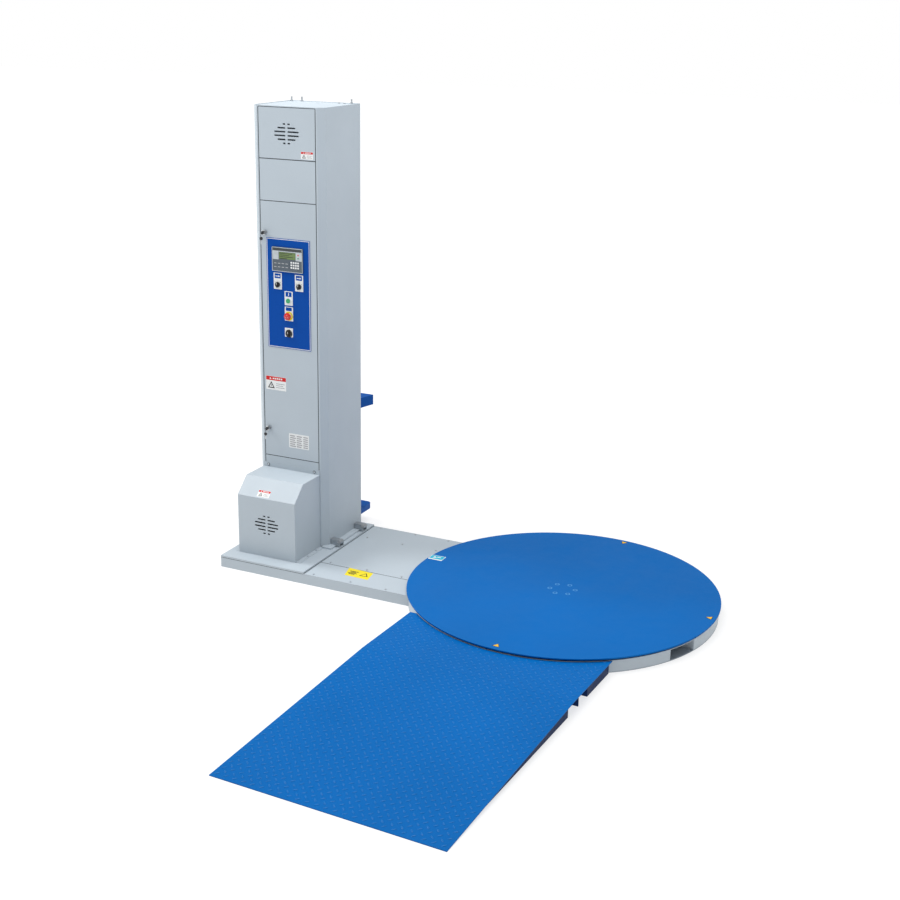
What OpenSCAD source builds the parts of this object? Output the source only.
// Turntable pallet wrapper: a low turntable on a floor ring, a bridge to a folding mast,
// a film carriage that climbs the mast, a hinged control door and a loose loading ramp.
// Origin: turntable axis at floor level. +X from the mast to the turntable, +Z up.

/* [Turntable] */
// Radius of the blue turntable disc
disc_r = 825; // [700:5:1000]
// Thickness of the disc plate
disc_t = 7; // [5:1:12]
// Height of the disc's top face above the floor
disc_top = 81; // [78:1:110]
// Outer radius of the fixed floor ring
ring_r = 816; // [690:5:990]
// Wall thickness of the floor ring
ring_wall = 6; // [4:1:10]
// Gap between the ring's top edge and the underside of the disc
ring_gap = 10.5; // [4:0.5:14]
// Thickness of the ring's floor plate
floor_t = 4; // [3:1:6]
// Radius of the support rollers
roller_r = 24; // [18:1:26]
// Width of the support rollers
roller_w = 24; // [16:1:30]
// Distance of the support rollers from the turntable axis
roller_circle = 660; // [600:5:670]
// Radius of the circle of centre bolts
bolt_circle = 67; // [55:1:75]

/* [Fork pockets] */
// Distance of each fork pocket's centre from the machine's centre line
pocket_y = 318.5; // [300:1:330]
// Clear width of a fork pocket
pocket_w = 165; // [140:5:180]
// Distance that the pockets reach past the turntable axis
pocket_back = 480; // [300:10:520]

/* [Base] */
// Width of the base and the bridge
base_w = 820; // [800:10:900]
// Distance from the turntable axis to the mast end of the base
base_reach = 1877; // [1850:1:2200]
// Distance from the turntable axis to the seam between bridge and mast base
seam_reach = 1344; // [1300:1:1344]
// Height of the mast base box under its plate
box_h = 58; // [56:1:64]
// Thickness of the mast base plate
plate_t = 10; // [6:1:14]
// Thickness of the bridge covers
cover_t = 4.6; // [3:0.2:6]
// Height of the bridge's top face
bridge_top = 58.6; // [52:0.2:64]
// Place across the bridge of the seam between its two covers
cover_seam_y = -223; // [-260:1:-200]

/* [Mast] */
// Width of the mast
mast_w = 437; // [420:1:460]
// Depth of the mast
mast_d = 408.5; // [400:0.5:440]
// Height of the mast's top above the floor
mast_top = 2504.5; // [2200:0.5:3200]
// Distance from the turntable axis to the mast's near face
mast_reach = 1409; // [1405:1:1412]
// Place of the mast's front face
mast_front = -42; // [-46:1:-40]
// Width of the bevel on the mast's front corners
bevel = 34; // [20:1:40]
// Thickness of the mast's sheet
sheet = 3; // [2:0.5:4]
// Width of the opening that the hatch, panels and door fill
opening_w = 348; // [330:1:352]
// Height of the door's lower edge
door_low = 570; // [540:5:600]
// Height of the door's upper edge
door_high = 2004; // [1900:1:2010]
// Height of the vent hatch's lower edge
hatch_low = 2229; // [2200:1:2240]
// Gap around the door, hatch and panels
panel_gap = 2; // [1:0.5:3]
// Width of the slot in the mast's back
slot_w = 150; // [120:5:160]

/* [Motor cover] */
// Width of the motor cover
hood_w = 366; // [340:1:380]
// Depth of the motor cover in front of the mast
hood_d = 274; // [240:1:300]
// Height of the motor cover's front face above the mast base plate
hood_front_h = 342; // [300:1:380]
// Height of the motor cover's top above the mast base plate
hood_h = 429; // [400:1:440]

/* [Film carriage] */
// Width of the carriage's lower plate
carriage_w = 350; // [300:5:380]
// Depth of the carriage plates behind the mast
carriage_d = 264; // [230:1:320]
// Clear height between the carriage plates
film_gap = 620; // [560:5:700]
// Height of the carriage's underside above the floor at its lowest
carriage_low = 80; // [78:1:100]
// Height of the lower plate's skirt
lower_skirt = 34; // [20:1:40]
// Height of the upper plate's skirt
upper_skirt = 60; // [40:1:70]
// Radius of the film core adapter
core_r = 37.5; // [30:0.5:38]
// Radius of the pre-stretch rollers
stretch_r = 30; // [24:1:34]

/* [Ramp] */
// Width of the ramp
ramp_w = 1103; // [900:1:1200]
// Distance from the turntable axis to the ramp's toe
ramp_reach = 2318; // [2000:1:2600]
// Distance from the turntable axis to the ramp's bend
ramp_bend = 1093; // [1060:1:1150]
// Height of the ramp's landing
ramp_h = 63.5; // [50:0.5:70]
// Thickness of the ramp's plate
ramp_t = 4; // [3:0.5:6]
// Turn of the loose ramp about the turntable axis, in degrees
ramp_turn = -2.5; // [-4:0.1:0]
// Sideways offset of the ramp from the turntable axis
ramp_shift = -24; // [-30:1:0]
// Distance from the turntable axis to the square rear corner of the ramp
ramp_back = 620; // [560:5:680]
// Gap between the ramp's curved edge and the ring
ramp_gap = 4; // [2:1:20]

/* [Fits] */
// Radial running clearance of pins in bores
run_fit = 0.05; // [0.02:0.01:0.1]
// Gap between bodies that move past each other
play = 0.4; // [0.3:0.1:1]

/* [Hidden] */
$fn = 64;

// Colours
paint_grey = "#b9c3cb";
paint_shade = "#9aa5ae";
machine_blue = "#0f69b9";
deep_blue = "#0b3f7a";
steel = "#8e9499";
dark = "#2c3034";

// Turntable heights
disc_under = disc_top - disc_t;
ring_h = disc_under - ring_gap;
roller_z = disc_under - play - roller_r;
roller_angles = [0, 60, 120, 165, 240, 300];
roller_bore = 6;
bracket_cheek = 4;
pocket_wall = 4;
pocket_roof = 3;
post_r = 30;
hub_low = floor_t + 8 + play;
hub_r = 60;
flange_r = 88;
bolt_angles = [for (i = [0:5]) 15 + 60 * i];
bolt_head_r = 9;
bolt_shank_r = 5;

// Chain drive between the gearbox and the turntable
chain_z = 30;
chain_plate = 6;
chain_link = 3;
big_sprocket_r = 150;
small_sprocket_r = 40;
tooth_h = 6;
motor_x = -(mast_reach + mast_w / 2);
motor_y = mast_front - hood_d / 2;
drive_reach = norm([motor_x, motor_y]);
drive_angle = atan2(motor_y, motor_x);
output_r = 12;

// Base
half_w = base_w / 2;
plate_top = box_h + plate_t;
box_wall = 5;
rail_w = 40;
cover_gap = 1;
foot_bolt_r = 7;

// Mast
mast_x1 = -mast_reach;
mast_x0 = -(mast_reach + mast_w);
mast_mid = (mast_x0 + mast_x1) / 2;
mast_back = mast_front + mast_d;
foot_t = 8;
foot_margin = 38;
shell_low = plate_top + foot_t;
open_x0 = mast_mid - opening_w / 2;
open_x1 = mast_mid + opening_w / 2;
cap_t = 4;
hinge_x = -mast_reach + 52;
hinge_z = plate_top + 24;
hinge_pin_r = 7;
lug_ys = [mast_front + 60, mast_back - 70];
lug_w = 34;
lug_gap = lug_w / 2 + play;
hood_mid = mast_mid - 5;
hood_back = mast_front - play;
hood_slope = 93;
rail_x = 88;
rail_y = mast_back - 66;
slot_low = 90;
slot_high = mast_top - 90;

// Door and controls
door_pin_r = 3;
door_pin_x = open_x1 - 22;
door_pin_y = mast_front + 13.5;
panel_w = 272;
panel_h = 605;
panel_x = mast_mid - 2.5;
panel_z = door_high - 499;
panel_t = 2;
panel_face = mast_front - panel_t;
selector_z = panel_z + 49;
selector_dx = 67;
start_z = panel_z - 34;
stop_z = panel_z - 119;
switch_z = panel_z - 217;
shaft_r = 5;
lock_x = open_x0 + 28.5;
lock_zs = [door_low + 160, door_high - 170];
barrel_r = 11;
lock_r = 8;
legend_t = 1.5;
legend_face = panel_face - legend_t;
control_places = [[panel_x - selector_dx, selector_z], [panel_x + selector_dx, selector_z],
  [panel_x, start_z], [panel_x, stop_z], [panel_x - 2, switch_z]];

// Lift
lift_r = 35;
lift_y = 190;
lift_top_z = mast_top - 190;
lift_low_z = 190;

// Carriage
car_x1 = -1480;
car_x0 = car_x1 - carriage_w;
car_y0 = mast_back + 6;
car_y1 = mast_back + carriage_d + 6.5;
car_floor_z = carriage_low + lower_skirt;
car_top_z = car_floor_z + film_gap;
plate = 4;
spindle_x = car_x0 + 133;
spindle_y = car_y0 + 132;
stretch_x = car_x1 - 56;
stretch_ys = [car_y0 + 62, car_y0 + 62 + 2 * stretch_r + 4];
stretch_axle_r = 8;
ramp_under = ramp_h - ramp_t;
rib_t = 5;
rib_in = 11;

// Rounded plate in the XZ plane, standing out of the front face towards -Y
module face_plate(cx, cz, w, h, t, y0, r = 2) {
  translate([cx, y0, cz]) rotate([90, 0, 0]) linear_extrude(t) rounded(w, h, r);
}
module rounded(w, h, r) {
  square([w - 2 * r, h], center = true);
  square([w, h - 2 * r], center = true);
  for (sx = [-1, 1], sy = [-1, 1]) translate([sx * (w / 2 - r), sy * (h / 2 - r)]) circle(r, $fn = 24);
}
// Cylinder along -Y from a face
module stub_y(cx, cz, r, len, y0) {
  translate([cx, y0, cz]) rotate([90, 0, 0]) cylinder(r = r, h = len);
}
module slot_row(cx, z, inner, outer, h) {
  for (s = [-1, 1]) translate([cx + s * (inner + outer) / 2, z]) rounded(outer - inner, h, h / 2 - 0.1);
}
// Six rows of cooling slots in the outline of a disc
module vent(cx, cz) {
  ends = [22, 55, 75, 75, 55, 22];
  for (i = [0:5]) slot_row(cx, cz + (2.5 - i) * 20, 6, ends[i], 8);
}
// Toothed wheel about Z, teeth reach r
module toothed_wheel(r, n, t) {
  cylinder(r = r - tooth_h, h = t);
  for (i = [0:n - 1]) rotate(i * 360 / n) linear_extrude(t)
    polygon([[r - tooth_h - 1, -4], [r, -1.8], [r, 1.8], [r - tooth_h - 1, 4]]);
}
// Outline round two wheels of radius ra (at the origin) and rb (at distance d along X)
module belt_outline(ra, rb, d) {
  lean = asin((ra - rb) / d);
  circle(ra);
  translate([d, 0]) circle(rb);
  polygon([[ra * sin(lean), ra * cos(lean)], [d + rb * sin(lean), rb * cos(lean)],
    [d + rb * sin(lean), -rb * cos(lean)], [ra * sin(lean), -ra * cos(lean)]]);
}
// The same outline as one smooth belt
module belt_hull(ra, rb, d) {
  hull() {
    circle(ra, $fn = 96);
    translate([d, 0]) circle(rb, $fn = 96);
  }
}
module loop(ra, rb, d, w, h) {
  linear_extrude(h) difference() {
    belt_hull(ra + w, rb + w, d);
    belt_hull(ra, rb, d);
  }
}
// Two strands of side plates with a band of rollers between them
module chain_loop(ra, rb, d) {
  translate([0, 0, -chain_link]) loop(ra + play, rb + play, d, 12, chain_link);
  loop(ra + play + 3, rb + play + 3, d, 6, chain_plate);
  translate([0, 0, chain_plate]) loop(ra + play, rb + play, d, 12, chain_link);
}

// ---- Base ----
module chain_way() {
  translate([0, 0, chain_z - 10]) rotate(drive_angle) linear_extrude(26)
    belt_outline(big_sprocket_r + 22, small_sprocket_r + 22, drive_reach);
}
module pocket_cut(w, z0, z1, end = 0) {
  for (s = [-1, 1])
    translate([end - pocket_back, s * pocket_y - w / 2, z0])
      cube([pocket_back - end + ring_r, w, z1 - z0]);
}
module base_ring() {
  color(paint_grey) difference() {
    translate([0, 0, floor_t]) cylinder(r = ring_r, h = ring_h - floor_t, $fn = 128);
    cylinder(r = ring_r - ring_wall, h = ring_h + 1, $fn = 128);
    intersection() {
      pocket_cut(pocket_w, 0, ring_h - pocket_roof);
      translate([0, -ring_r, 0]) cube([ring_r + 1, 2 * ring_r, ring_h]);
    }
    chain_way();
  }
}
module ring_floor() {
  color(paint_shade) cylinder(r = ring_r, h = floor_t, $fn = 128);
}
module fork_pockets() {
  color(paint_shade) intersection() {
    difference() {
      pocket_cut(pocket_w + 2 * pocket_wall, floor_t, ring_h);
      pocket_cut(pocket_w, 0, ring_h - pocket_roof, pocket_wall);
    }
    cylinder(r = ring_r - ring_wall, h = ring_h, $fn = 128);
  }
}
module rail(x0, y, w, x1) {
  h = bridge_top - cover_t;
  translate([x0, y - w / 2, 0]) difference() {
    cube([x1 - x0, w, h]);
    translate([-1, 4, 4]) cube([x1 - x0 + 2, w - 8, h - 8]);
  }
}
module ring_clear(gap) {
  translate([0, 0, -1]) cylinder(r = ring_r + gap, h = 200, $fn = 128);
}
module bridge_frame() {
  x0 = -seam_reach;
  h = bridge_top - cover_t;
  color(paint_grey) difference() {
    union() {
      for (s = [-1, 1]) rail(x0, s * (half_w - rail_w / 2), rail_w, 0);
      rail(x0, cover_seam_y, 30, 0);
      translate([x0, -half_w + rail_w, 0]) cube([30, base_w - 2 * rail_w, h]);
    }
    ring_clear(0);
    chain_way();
  }
}
module bridge_plate(y0, y1) {
  difference() {
    translate([-seam_reach + cover_gap, y0, bridge_top - cover_t])
      cube([seam_reach, y1 - y0, cover_t]);
    ring_clear(cover_gap);
  }
}
module bridge_cover() {
  color(paint_grey) bridge_plate(cover_seam_y + cover_gap, half_w);
}
module bridge_side_cover() {
  color(paint_grey) bridge_plate(-half_w, cover_seam_y - cover_gap);
}
module mast_base_box() {
  len = base_reach - seam_reach;
  color(paint_shade) difference() {
    translate([-base_reach, -half_w, 0]) cube([len, base_w, box_h]);
    translate([-base_reach + box_wall, -half_w + box_wall, floor_t])
      cube([len - 2 * box_wall, base_w - 2 * box_wall, box_h]);
    chain_way();
  }
}
module mast_base_plate() {
  color(paint_grey) difference() {
    translate([-base_reach, -half_w, box_h]) cube([base_reach - seam_reach, base_w, plate_t]);
    translate([motor_x, motor_y, 0]) cylinder(r = output_r + 6, h = plate_top + 1);
  }
}
module centre_post() {
  color(steel) {
    translate([0, 0, floor_t]) cylinder(r = hub_r + 30, h = 8);
    translate([0, 0, floor_t]) cylinder(r = post_r, h = disc_under - floor_t - 2);
  }
}
module at_rollers(i) {
  rotate(roller_angles[i]) translate([roller_circle, 0, roller_z]) children();
}
module roller_brackets() {
  gap = roller_w / 2 + 1;
  color(steel) for (i = [0:len(roller_angles) - 1]) at_rollers(i) {
    for (s = [-1, 1]) translate([s > 0 ? gap : -gap - bracket_cheek, -20, floor_t - roller_z])
      cube([bracket_cheek, 40, roller_z - floor_t + 12]);
    rotate([0, 90, 0]) cylinder(r = roller_bore, h = 2 * gap + 2 * bracket_cheek, center = true);
  }
}
module support_roller(i) {
  color(dark) at_rollers(i) rotate([0, 90, 0]) difference() {
    rotate_extrude() polygon([[0, -roller_w / 2], [roller_r - 2, -roller_w / 2],
      [roller_r, -roller_w / 2 + 2], [roller_r, roller_w / 2 - 2],
      [roller_r - 2, roller_w / 2], [0, roller_w / 2]]);
    cylinder(r = roller_bore + run_fit, h = roller_w + 2, center = true);
  }
}

// ---- Turntable ----
module bolt_holes(r, z0, z1) {
  for (a = bolt_angles) rotate(a) translate([bolt_circle, 0, z0]) cylinder(r = r, h = z1 - z0);
}
module turntable_disc() {
  edge = 1;
  color(machine_blue) difference() {
    translate([0, 0, disc_under]) rotate_extrude($fn = 128)
      polygon([[0, 0], [disc_r, 0], [disc_r, disc_t - edge], [disc_r - edge, disc_t], [0, disc_t]]);
    bolt_holes(bolt_shank_r + 0.3, disc_under - 1, disc_top + 1);
    bolt_holes(bolt_head_r + 0.4, disc_top - 4.5, disc_top + 1);
  }
}
module centre_bolts() {
  color(machine_blue) {
    bolt_holes(bolt_head_r, disc_top - 4.5, disc_top - 0.4);
    bolt_holes(bolt_shank_r, disc_under - 10, disc_top - 4.5);
  }
}
module turntable_sprocket() {
  color(steel) difference() {
    union() {
      translate([0, 0, hub_low]) cylinder(r = hub_r, h = disc_under - hub_low);
      translate([0, 0, disc_under - 12]) cylinder(r = flange_r, h = 12);
      translate([0, 0, chain_z]) difference() {
        toothed_wheel(big_sprocket_r, 60, chain_plate);
        for (a = [0:60:300]) rotate(a) translate([102, 0, -1]) cylinder(r = 26, h = chain_plate + 2);
      }
    }
    cylinder(r = post_r + run_fit, h = disc_top);
    bolt_holes(bolt_shank_r + 0.3, disc_under - 11, disc_top);
  }
}

// ---- Drive ----
module drive_sprocket() {
  color(steel) translate([motor_x, motor_y, 0]) rotate(drive_angle) {
    translate([0, 0, chain_z]) toothed_wheel(small_sprocket_r, 16, chain_plate);
    translate([0, 0, chain_z - 6]) cylinder(r = output_r, h = plate_top + 70 - chain_z + 6);
  }
}
module drive_chain() {
  color(dark) translate([0, 0, chain_z]) rotate(drive_angle)
    chain_loop(big_sprocket_r, small_sprocket_r, drive_reach);
}
module drive_gearbox() {
  color(paint_shade) translate([motor_x, motor_y, plate_top]) difference() {
    union() {
      translate([-75, -75, 0]) cube([150, 150, 10]);
      translate([-60, -60, 10]) cube([120, 120, 80]);
      translate([0, 0, 90]) cylinder(r = 58, h = 12);
    }
    translate([0, 0, -1]) cylinder(r = output_r + run_fit, h = 76);
  }
}
module finned_motor(r, h, fins) {
  pitch = h * 0.7 / fins;
  cylinder(r = r - 6, h = h);
  for (i = [0:fins - 1]) translate([0, 0, 4 + i * pitch]) cylinder(r = r, h = pitch * 0.5);
  translate([0, 0, h * 0.76]) cylinder(r = r + 1, h = h * 0.24);
}
module drive_motor() {
  color(paint_shade) translate([motor_x, motor_y, plate_top + 102]) {
    finned_motor(60, 190, 12);
    translate([-95, -35, 40]) cube([50, 70, 70]);
  }
}
function hood_profile(t) = [[hood_back + 1, -1], [mast_front - hood_d + t, -1],
  [mast_front - hood_d + t, hood_front_h - t * 0.4],
  [mast_front - hood_d + hood_slope + t * 0.5, hood_h - t], [hood_back + 1, hood_h - t]];
module hood_block(t, w) {
  translate([hood_mid - w / 2, 0, plate_top]) rotate([90, 0, 90]) linear_extrude(w)
    polygon(hood_profile(t));
}
module motor_cover() {
  color(paint_grey) difference() {
    union() {
      hood_block(0, hood_w);
      translate([hood_mid - hood_w / 2, hood_back - 2, plate_top + hood_h - 1]) cube([hood_w, 2, 28]);
      translate([hood_mid - hood_w / 2 - 26, mast_front - hood_d + 4, plate_top])
        cube([hood_w + 52, hood_d - 28, 2]);
    }
    hood_block(2, hood_w - 4);
    translate([hood_mid - 300, hood_back, 0]) cube([600, 20, mast_top]);
    translate([hood_mid - 300, -half_w, plate_top - 5]) cube([600, half_w, 5]);
    translate([0, mast_front - hood_d + 5, 0]) rotate([90, 0, 0]) linear_extrude(10)
      vent(hood_mid, plate_top + 189);
  }
}
module screw_head(p, r = 6) {
  translate(p) cylinder(r = r, h = 2.5, $fn = 24);
}
module cover_screws() {
  color(steel) {
    for (x = [-1290, -1062, -850], y = [cover_seam_y + 18, 224, half_w - 18])
      if (norm([x, y]) > ring_r + 20) screw_head([x, y, bridge_top], 5);
    for (x = [-1290, -1062, -850]) screw_head([x, -half_w + 18, bridge_top], 5);
    for (s = [-1, 1]) {
      for (y = [-206, -110]) screw_head([hood_mid + s * (hood_w / 2 + 13), y, plate_top + 2]);
      translate([hood_mid + s * 150, hood_back - 2, plate_top + hood_h + 13]) rotate([90, 0, 0])
        cylinder(r = 6, h = 2.5, $fn = 24);
    }
  }
}

// ---- Mast hinge ----
module hinge_lugs() {
  color(dark) for (y = lug_ys) {
    translate([0, y, 0]) for (s = [-1, 1]) translate([hinge_x, s > 0 ? lug_gap : -lug_gap - 8, 0]) {
      translate([-11, 0, plate_top]) cube([22, 8, hinge_z - plate_top]);
      translate([0, 8, hinge_z]) rotate([90, 0, 0]) cylinder(r = 11, h = 8);
    }
    translate([hinge_x, y + lug_gap + 14, hinge_z]) rotate([90, 0, 0])
      cylinder(r = hinge_pin_r, h = 2 * lug_gap + 28);
  }
}
module mast_hinge_bar() {
  top = hinge_z + 15;
  color(dark) for (y = lug_ys) translate([0, y - lug_w / 2, 0]) difference() {
    union() {
      translate([mast_x1, 0, shell_low]) cube([hinge_x - mast_x1 - 8, lug_w, top - shell_low]);
      translate([hinge_x - 10, 0, hinge_z]) rotate([-90, 0, 0]) cylinder(r = 15, h = lug_w);
      translate([hinge_x, 0, hinge_z]) rotate([-90, 0, 0]) cylinder(r = 13, h = lug_w);
    }
    translate([hinge_x, -1, hinge_z]) rotate([-90, 0, 0]) cylinder(r = hinge_pin_r + run_fit, h = lug_w + 2);
  }
}
module mast_foot() {
  x1 = mast_x1 + foot_margin;
  color(paint_grey) difference() {
    union() {
      translate([mast_x0, mast_front, plate_top + play]) cube([x1 - mast_x0, mast_d + 12, foot_t - play]);
      translate([mast_x1 - 22, mast_front - 16, plate_top + play]) cube([x1 - mast_x1 + 22, 20, foot_t - play]);
    }
    for (x = [mast_x0 + 60, mast_x1 - 60], y = [mast_front + 50, mast_back - 50])
      translate([x, y, 0]) cylinder(r = foot_bolt_r, h = 200);
  }
}

// ---- Mast ----
module mast_outline(t) {
  x0 = mast_x0 + t;
  x1 = mast_x1 - t;
  b = bevel - t * 0.4;
  polygon([[x0 + b, mast_front + t], [x1 - b, mast_front + t], [x1, mast_front + bevel + t * 0.6],
    [x1, mast_back - t], [x0, mast_back - t], [x0, mast_front + bevel + t * 0.6]]);
}
module mast_shell() {
  color(paint_grey) difference() {
    translate([0, 0, shell_low]) linear_extrude(mast_top - shell_low) difference() {
      mast_outline(0);
      mast_outline(sheet);
    }
    translate([open_x0, mast_front - 1, shell_low - 1]) cube([opening_w, sheet + 2, mast_top - 6 - shell_low]);
    translate([mast_mid - slot_w / 2, mast_back - sheet - 1, slot_low])
      cube([slot_w, sheet + 2, slot_high - slot_low]);
  }
}
module mast_cap() {
  color(paint_grey) translate([0, 0, mast_top - cap_t - 3]) difference() {
    linear_extrude(cap_t) mast_outline(sheet);
    translate([mast_mid - 12, mast_back - 84, -1]) cube([24, 10, cap_t + 2]);
  }
}
module cap_bolts() {
  color(steel) {
    for (p = [[mast_x0 + 30, mast_back - 40], [mast_x0 + 85, mast_back - 22], [mast_x1 - 40, mast_back - 24]])
      translate([p[0], p[1], mast_top - 3]) {
        cylinder(r = 9, h = 7, $fn = 6);
        cylinder(r = 5, h = 26);
      }
    for (p = [[mast_x1 - 110, mast_back - 40], [mast_x1 - 80, mast_back - 34], [mast_x0 + 40, mast_front + 20]])
      screw_head([p[0], p[1], mast_top - 3], 7);
  }
}
// Sheet panel that fills the opening between two heights, with a backing tray
module front_panel(z0, z1) {
  backing = 5;
  translate([open_x0 + panel_gap, mast_front, z0]) cube([opening_w - 2 * panel_gap, sheet, z1 - z0]);
  translate([open_x0 - backing, mast_front + sheet, z0]) cube([opening_w + 2 * backing, 2, z1 - z0]);
}
module vent_hatch() {
  mid = (hatch_low + mast_top - 8) / 2;
  color(paint_grey) difference() {
    front_panel(hatch_low + panel_gap / 2, mast_top - 8);
    translate([0, mast_front + 10, 0]) rotate([90, 0, 0]) linear_extrude(20) vent(mast_mid - 1, mid);
  }
}
module fixed_panels() {
  color(paint_grey) {
    front_panel(door_high + panel_gap / 2, hatch_low - panel_gap / 2);
    front_panel(shell_low + 1, door_low - panel_gap / 2);
  }
}
module guide_rails() {
  color(steel) {
    for (s = [-1, 1]) translate([mast_mid + s * (rail_x + 4) - 4, rail_y - 10, shell_low])
      cube([8, mast_back - sheet - rail_y + 10, mast_top - 110 - shell_low]);
    translate([mast_mid + 8, lift_y - 20, shell_low]) cube([10, 40, lift_low_z - shell_low + 16]);
    translate([mast_mid - 8, lift_y, lift_low_z]) rotate([0, 90, 0]) cylinder(r = 8, h = 16);
  }
}
module lift_wheel(z, bore) {
  translate([mast_mid - chain_plate / 2, lift_y, z]) rotate([0, 90, 0]) difference() {
    toothed_wheel(lift_r, 14, chain_plate);
    if (bore > 0) translate([0, 0, -1]) cylinder(r = bore, h = chain_plate + 2);
  }
}
module lift_drive_sprocket() {
  color(steel) {
    lift_wheel(lift_top_z, 0);
    translate([mast_mid - 8, lift_y, lift_top_z]) rotate([0, 90, 0]) cylinder(r = 10, h = 70);
  }
}
module lift_idler_sprocket() {
  color(steel) lift_wheel(lift_low_z, 8 + run_fit);
}
module lift_chain() {
  color(dark) translate([mast_mid - chain_plate / 2, lift_y, lift_top_z]) rotate([0, 90, 0])
    chain_loop(lift_r, lift_r, lift_top_z - lift_low_z);
}
module lift_motor() {
  x0 = mast_mid + 22;
  color(paint_shade) {
    difference() {
      translate([x0, lift_y - 45, lift_top_z - 50]) cube([90, 90, 100]);
      translate([x0 - 1, lift_y, lift_top_z]) rotate([0, 90, 0]) cylinder(r = 10 + run_fit, h = 60);
    }
    translate([x0 + 90, lift_y - 30, lift_top_z - 50]) cube([mast_x1 - sheet - x0 - 90, 60, 8]);
    translate([x0 + 45, lift_y, lift_top_z - 50]) rotate([180, 0, 0]) finned_motor(44, 190, 10);
  }
}
module electrics_plate() {
  color("#c8ccd0") {
    translate([mast_x0 + sheet, mast_front + 92, door_low + 60]) cube([mast_w - 2 * sheet, 3, 1150]);
    for (i = [0:3]) translate([mast_mid - 130 + i * 66, mast_front + 42, door_low + 820])
      cube([54, 50, 90]);
    translate([mast_mid - 130, mast_front + 32, door_low + 480]) cube([110, 60, 190]);
    translate([mast_mid + 10, mast_front + 52, door_low + 480]) cube([120, 40, 120]);
    translate([mast_mid - 140, mast_front + 72, door_low + 200]) cube([280, 20, 30]);
  }
}
module door_hinge_pins() {
  color(steel) for (end = [[door_high + 3, -58], [door_low - 11, 0]]) translate([door_pin_x, 0, end[0]]) {
    translate([-6, mast_front + sheet + 2, 0]) cube([12, door_pin_y - mast_front + 4, 8]);
    translate([0, door_pin_y, end[1]]) cylinder(r = door_pin_r, h = 66);
  }
}

// ---- Door and controls ----
module main_door() {
  x0 = open_x0 + panel_gap;
  x1 = open_x1 - panel_gap;
  color(paint_grey) difference() {
    union() {
      translate([x0, mast_front, door_low]) cube([x1 - x0, 2, door_high - door_low]);
      translate([x0, mast_front, door_low]) cube([2, 12, door_high - door_low]);
      translate([door_pin_x - 7, mast_front, door_low]) cube([4, 10, door_high - door_low]);
      translate([door_pin_x, door_pin_y, door_low]) cylinder(r = 7, h = door_high - door_low);
    }
    translate([door_pin_x, door_pin_y, door_low - 1]) cylinder(r = door_pin_r + run_fit, h = door_high - door_low + 2);
    for (c = control_places) stub_y(c[0], c[1], barrel_r + play, 20, mast_front + 10);
    for (z = lock_zs) stub_y(lock_x, z, lock_r + run_fit, 20, mast_front + 10);
  }
}
module control_panel() {
  color(machine_blue) difference() {
    face_plate(panel_x, panel_z, panel_w, panel_h, panel_t, mast_front, 4);
    for (c = control_places) stub_y(c[0], c[1], barrel_r + play, 20, mast_front + 10);
  }
}
module display_unit() {
  cz = panel_z + 190;
  color(dark) difference() {
    face_plate(panel_x - 2, cz, 193, 133, 6, panel_face, 4);
    translate([panel_x - 54, panel_face - 7, cz + 3]) cube([104, 3, 38]);
    translate([panel_x + 12, panel_face - 7, cz - 48]) cube([66, 2, 46]);
  }
  color("white") for (i = [0:3], j = [0:2])
    face_plate(panel_x + 24 + i * 14, cz - 12 - j * 14, 11, 10, 1.6, panel_face - 5, 1);
}
module legend_plates() {
  plates = [[panel_x - selector_dx, selector_z + 20, 51, 90],
    [panel_x + selector_dx, selector_z + 19, 51, 90], [panel_x, start_z + 13, 51, 78],
    [panel_x, stop_z + 12, 52, 78], [panel_x - 2, switch_z + 6, 51, 50]];
  color("white") difference() {
    union() {
      for (p = plates) face_plate(p[0], p[1], p[2], p[3], legend_t, panel_face, 3);
      for (c = control_places) stub_y(c[0], c[1], barrel_r, 38 + legend_t, panel_face + 38);
      for (z = [start_z, stop_z]) stub_y(panel_x, z, 16, 6, legend_face);
    }
    for (c = control_places) stub_y(c[0], c[1], shaft_r + run_fit, 60, panel_face + 39);
    for (z = [start_z, stop_z]) stub_y(panel_x, z, 13, 7, legend_face);
  }
}
// Rotary knob with a raised grip, standing on the shaft
module knob(c, r, grip) {
  stub_y(c[0], c[1], shaft_r, 40, legend_face + 36);
  stub_y(c[0], c[1], r, 6, legend_face - play);
  face_plate(c[0], c[1], grip, 1.9 * r, 14, legend_face - play, grip / 2 - 0.2);
}
module left_selector() { color(dark) knob(control_places[0], 15, 9); }
module right_selector() { color(dark) knob(control_places[1], 15, 9); }
module main_switch() { color(dark) knob(control_places[4], 18, 11); }
module start_button() {
  color("#1f9d4c") {
    stub_y(panel_x, start_z, shaft_r, 38, legend_face + 32);
    stub_y(panel_x, start_z, 12.6, 4, legend_face - 5);
  }
}
module stop_button() {
  color("#c8202a") translate([panel_x, legend_face, stop_z]) rotate([90, 0, 0]) rotate_extrude()
    polygon([[0, -32], [shaft_r, -32], [shaft_r, 6], [12, 7], [12, 10], [20, 12], [21, 16], [19, 20],
      [12, 23], [0, 24]]);
}
module cam_lock(z) {
  stub_y(lock_x, z, lock_r, 26, mast_front + 18);
  stub_y(lock_x, z, 13, 5, mast_front - play);
  face_plate(lock_x, z, 3, 14, 11, mast_front - 5, 1);
  face_plate(lock_x, z, 20, 26, 5, mast_front - 14, 5);
  translate([lock_x - 9, mast_front + 14, z - 44]) cube([18, 3, 52]);
}
module upper_lock() { color(steel) cam_lock(lock_zs[1]); }
module lower_lock() { color(steel) cam_lock(lock_zs[0]); }

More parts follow.
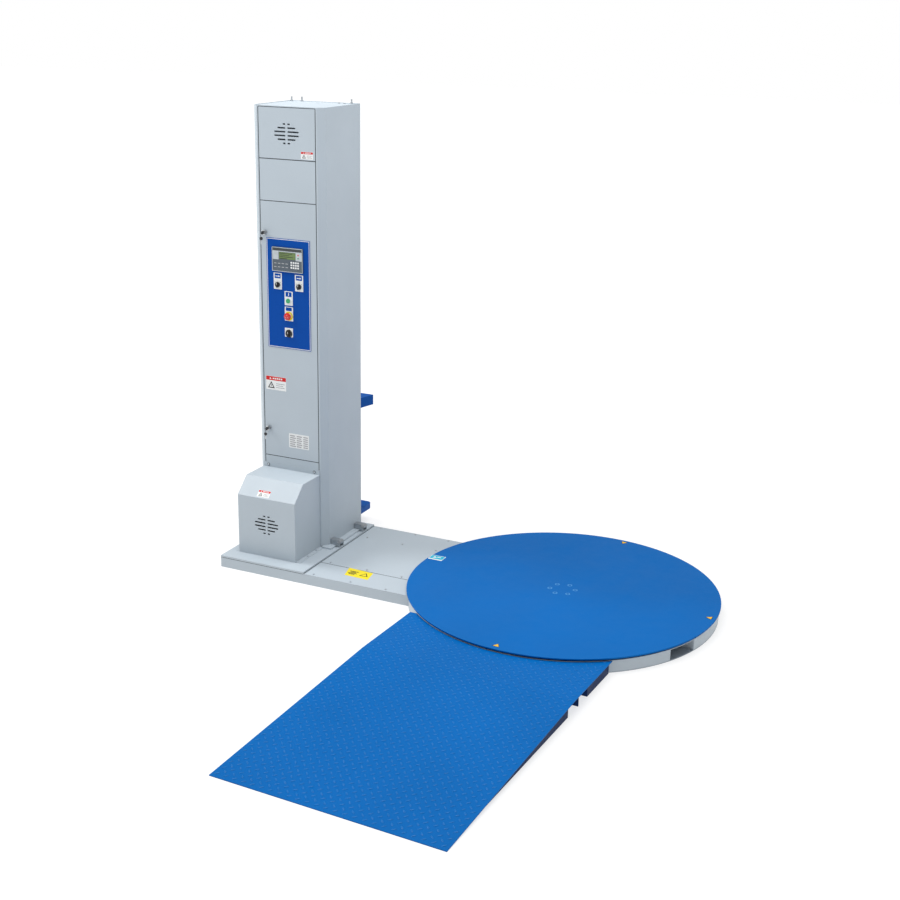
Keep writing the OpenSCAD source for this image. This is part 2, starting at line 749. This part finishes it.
// ---- Film carriage ----
module carriage_frame() {
  arm_z = car_floor_z + 270;
  color(deep_blue) {
    translate([mast_mid - 100, rail_y - 10 - play - 12, arm_z - 60]) cube([200, 12, 370]);
    translate([mast_mid - rail_x + play, rail_y - 10 - play, arm_z - 60])
      cube([2 * (rail_x - play), 30, 370]);
    translate([mast_mid - slot_w / 2 + 15, rail_y, arm_z]) cube([slot_w - 30, car_y0 - rail_y, 250]);
    translate([car_x0, car_y0, car_floor_z]) cube([mast_mid + 110 - car_x0, plate, film_gap]);
  }
}
module tray(points, inner, z0, h, flat_z) {
  translate([0, 0, z0]) difference() {
    linear_extrude(h) polygon(points);
    translate([0, 0, flat_z]) linear_extrude(h - plate) polygon(inner);
  }
}
module stretch_bores(z0, z1) {
  for (y = stretch_ys) translate([stretch_x, y, z0]) cylinder(r = stretch_axle_r + run_fit, h = z1 - z0);
}
module carriage_top() {
  w0 = 71;
  z0 = car_top_z;
  color(deep_blue) difference() {
    tray([[car_x0, car_y0], [car_x1 - w0 + 8, car_y0], [car_x1 + 8, car_y1], [car_x0, car_y1]],
      [[car_x0 + plate, car_y0 + plate], [car_x1 - w0 + 3, car_y0 + plate], [car_x1 + 2, car_y1 - plate],
        [car_x0 + plate, car_y1 - plate]], z0, upper_skirt, -plate);
    stretch_bores(z0, z0 + upper_skirt + 1);
  }
}
module carriage_floor() {
  r = 30;
  z0 = carriage_low;
  color(machine_blue) difference() {
    union() {
      difference() {
        translate([0, 0, z0]) linear_extrude(lower_skirt) floor_outline(0, r);
        translate([0, 0, z0 - plate]) linear_extrude(lower_skirt) floor_outline(plate, r - plate);
      }
      translate([spindle_x, spindle_y, z0 + 2]) cylinder(r = 26, h = lower_skirt - 4);
      for (y = stretch_ys) translate([stretch_x, y, z0 + 2]) cylinder(r = 16, h = lower_skirt - 4);
    }
    translate([spindle_x, spindle_y, z0 + 8]) cylinder(r = 12 + run_fit, h = lower_skirt);
    stretch_bores(z0 + 8, z0 + lower_skirt + 1);
  }
}
module floor_outline(t, r) {
  difference() {
    translate([car_x0 + t, car_y0 + t]) square([carriage_w - 2 * t, car_y1 - car_y0 - 2 * t]);
    translate([car_x1 - t - r, car_y1 - t - r]) square([r + 1, r + 1]);
  }
  translate([car_x1 - t - r, car_y1 - t - r]) circle(r);
}
module stretch_roller(y) {
  z0 = car_floor_z + 4;
  color(dark) {
    translate([stretch_x, y, z0]) cylinder(r = stretch_r, h = film_gap - 8);
    translate([stretch_x, y, carriage_low + 9]) cylinder(r = stretch_axle_r, h = car_top_z + upper_skirt - carriage_low - 10);
  }
}
module stretch_roller_a() { stretch_roller(stretch_ys[0]); }
module stretch_roller_b() { stretch_roller(stretch_ys[1]); }
module film_spindle() {
  z0 = car_floor_z + play;
  color(steel) translate([spindle_x, spindle_y, 0]) {
    translate([0, 0, carriage_low + 9]) cylinder(r = 12, h = car_floor_z + 560 - carriage_low);
    translate([0, 0, z0]) cylinder(r = 60, h = 8);
    translate([0, 0, z0 + 8]) cylinder(r = core_r, h = 40);
    translate([0, 0, car_floor_z + 470]) cylinder(r = core_r, h = 40);
  }
}

// ---- Loading ramp ----
module ramp_place() {
  rotate(ramp_turn) translate([ramp_shift, 0, 0]) children();
}
module ramp_arc(extra) {
  translate([-ramp_shift, 0, -1]) cylinder(r = ring_r + ramp_gap + extra, h = ramp_h + 2, $fn = 128);
}
module along_x(w) {
  translate([-w / 2, 0, 0]) rotate([90, 0, 90]) linear_extrude(w) children();
}
module ramp_deck() {
  color(machine_blue) ramp_place() {
    difference() {
      translate([-ramp_w / 2, -ramp_bend, ramp_under]) cube([ramp_w, ramp_bend - ramp_back, ramp_t]);
      ramp_arc(0);
    }
    along_x(ramp_w) polygon([[-ramp_bend, ramp_h], [-ramp_reach, ramp_t], [-ramp_reach, 0],
      [-ramp_bend, ramp_under]]);
  }
}
// Height of the deck's underside at a distance from the turntable axis
function under_z(d) = ramp_under * (ramp_reach - d) / (ramp_reach - ramp_bend);
module ramp_ribs() {
  slope_start = ramp_bend + 42;
  slope_end = ramp_reach - 60;
  landing_end = ramp_bend - 188;
  inner_w = ramp_w - 2 * rib_in;
  color(deep_blue) ramp_place() {
    for (x = [-inner_w / 2, -inner_w / 6, inner_w / 6 - rib_t, inner_w / 2 - rib_t]) {
      difference() {
        translate([x, -landing_end, 0]) cube([rib_t, landing_end - ramp_back - rib_in, ramp_under]);
        ramp_arc(rib_t);
      }
      translate([x + rib_t / 2, 0, 0]) along_x(rib_t) polygon([[-slope_start, 0],
        [-slope_start, under_z(slope_start)], [-slope_end, under_z(slope_end)], [-slope_end, 0]]);
    }
    for (y = [landing_end, ramp_bend - 80]) translate([-inner_w / 2, -y - rib_t, 0])
      cube([inner_w, rib_t, ramp_under]);
    translate([-inner_w / 2, -slope_start - rib_t, 0]) cube([inner_w, rib_t, under_z(slope_start + rib_t)]);
  }
}

base_ring();
ring_floor();
fork_pockets();
bridge_frame();
bridge_cover();
bridge_side_cover();
mast_base_box();
mast_base_plate();
centre_post();
roller_brackets();
cover_screws();
motor_cover();
drive_motor();
drive_gearbox();
drive_chain();
hinge_lugs();
turntable_disc();
turntable_sprocket();
centre_bolts();
support_roller(0);  // support_roller_1
support_roller(1);  // support_roller_2
support_roller(2);  // support_roller_3
support_roller(3);  // support_roller_4
support_roller(4);  // support_roller_5
support_roller(5);  // support_roller_6
drive_sprocket();
mast_shell();
mast_foot();
mast_cap();
mast_hinge_bar();
vent_hatch();
fixed_panels();
guide_rails();
lift_motor();
lift_chain();
cap_bolts();
door_hinge_pins();
electrics_plate();
lift_drive_sprocket();
lift_idler_sprocket();
main_door();
control_panel();
display_unit();
legend_plates();
left_selector();
right_selector();
main_switch();
start_button();
stop_button();
upper_lock();
lower_lock();
carriage_frame();
carriage_top();
carriage_floor();
stretch_roller_a();
stretch_roller_b();
film_spindle();
ramp_deck();
ramp_ribs();
